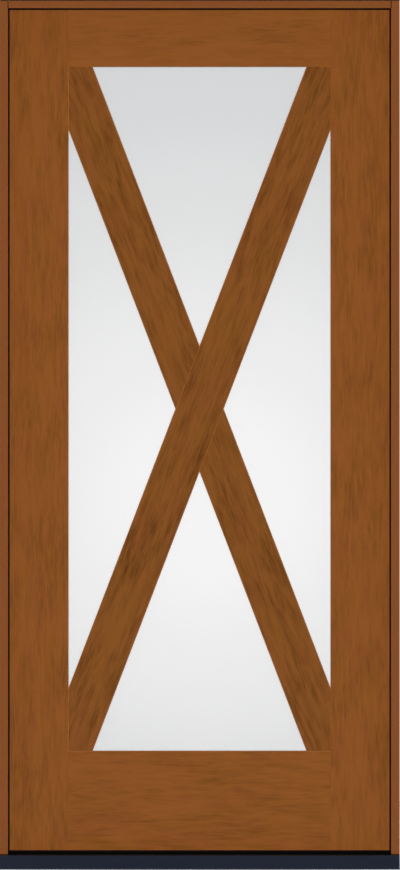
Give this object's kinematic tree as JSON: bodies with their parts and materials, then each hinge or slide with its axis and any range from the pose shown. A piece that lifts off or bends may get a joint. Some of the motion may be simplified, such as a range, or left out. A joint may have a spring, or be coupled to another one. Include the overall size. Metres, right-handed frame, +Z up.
{
  "type": "glazed entrance door with crossed bars",
  "caption": "Pre-hung wooden entrance door: a glazed leaf with broad crossed bars swings inwards on butt hinges in a rebated frame with weatherstrip, seal and dark sill.",
  "frame": {"origin": "middle of the sill's flat underside, at the frame's mid-depth", "axes": "+X to the right seen from outside, +Y from outside into the room, +Z up"},
  "size_m": [0.9524, 0.157, 2.07],
  "materials": {
    "leaf_wood": "stained brown, satin, grain along each piece",
    "frame_wood": "stained brown, satin, finer grain",
    "glass": "pale, softly obscured",
    "spacer": "mill",
    "sill_metal": "dark slate, matt",
    "sill_core": "dark composite",
    "black_seal": "matt black",
    "hinge_metal": "dark bronze plated, satin"
  },
  "bodies": {
    "frame": {"hinge_jamb": "frame_wood", "strike_jamb": "frame_wood", "head_jamb": "frame_wood", "weatherstrip_hinge_side": "black_seal", "weatherstrip_strike_side": "black_seal", "weatherstrip_head": "black_seal", "sill_core": "sill_core", "sill_deck": "sill_metal", "sill_seal": "black_seal", "hinge_frame_plate_top": "hinge_metal", "hinge_frame_plate_middle": "hinge_metal", "hinge_frame_plate_bottom": "hinge_metal", "hinge_pin_top": "hinge_metal", "hinge_pin_middle": "hinge_metal", "hinge_pin_bottom": "hinge_metal"},
    "leaf": {"hinge_stile": "leaf_wood", "lock_stile": "leaf_wood", "top_rail": "leaf_wood", "bottom_rail": "leaf_wood", "outer_glass": "glass", "glass_spacer": "spacer", "inner_glass": "glass", "glazing_bead_bottom": "leaf_wood", "glazing_bead_lock_side": "leaf_wood", "glazing_bead_top": "leaf_wood", "glazing_bead_hinge_side": "leaf_wood", "outer_bar_long": "leaf_wood", "outer_bar_upper": "leaf_wood", "outer_bar_lower": "leaf_wood", "inner_bar_long": "leaf_wood", "inner_bar_upper": "leaf_wood", "inner_bar_lower": "leaf_wood", "door_sweep": "black_seal", "hinge_door_plate_top": "hinge_metal", "hinge_door_plate_middle": "hinge_metal", "hinge_door_plate_bottom": "hinge_metal"}
  },
  "joints": [
    {"name": "door_swing", "type": "hinge", "parent": "frame", "child": "leaf", "pos_m": [-0.46265, 0.066, 1], "axis": [0, 0, 1], "range_deg": [0, 170]}
  ]
}
